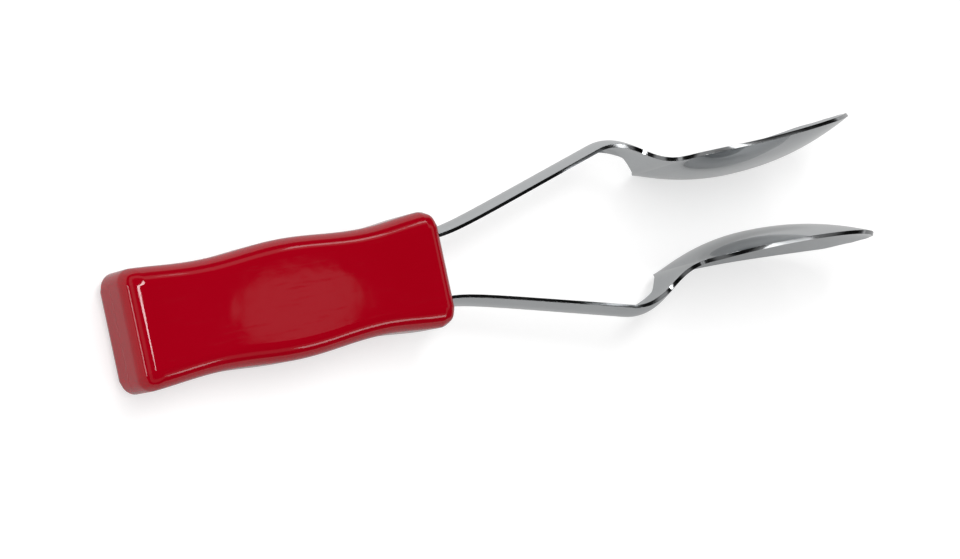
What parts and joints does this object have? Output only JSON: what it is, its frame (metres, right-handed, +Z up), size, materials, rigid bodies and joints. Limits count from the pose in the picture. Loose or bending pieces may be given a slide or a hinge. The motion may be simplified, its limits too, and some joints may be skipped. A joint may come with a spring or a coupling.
{
  "type": "musical spoons",
  "caption": "Back-to-back steel spoons sprung from a waved red moulded grip; the player claps the pair so that the backs of the bowls click together.",
  "frame": {"origin": "centre of the bounding box's underside; the pair lies on its side, on the lower edge of the butt and the rims of both bowls", "axes": "+X from the butt of the handle to the tips of the bowls, +Y from the picture's lower spoon to its upper spoon, +Z up, out of the grip face that the picture shows"},
  "size_m": [0.242, 0.0506, 0.0434],
  "materials": {
    "red_plastic": "glossy moulded cherry red",
    "bright_steel": "polished bright-plated steel"
  },
  "bodies": {
    "handle": {"handle_front_shell": "red_plastic", "handle_rear_shell": "red_plastic", "upper_tang": "bright_steel", "lower_tang": "bright_steel"},
    "upper_spoon": {"upper_spoon": "bright_steel"},
    "lower_spoon": {"lower_spoon": "bright_steel"}
  },
  "joints": [
    {"name": "upper_flex", "type": "hinge", "parent": "handle", "child": "upper_spoon", "pos_m": [-0.02701, 0.00795, 0.01545], "axis": [-0.0575, 0, 0.9983], "range_deg": [-4.3, 2], "stiffness_Nm_per_rad": 10.6},
    {"name": "lower_flex", "type": "hinge", "parent": "handle", "child": "lower_spoon", "pos_m": [-0.02701, -0.00905, 0.01545], "axis": [-0.0575, 0, 0.9983], "range_deg": [-2, 4.3], "stiffness_Nm_per_rad": 10.6}
  ]
}
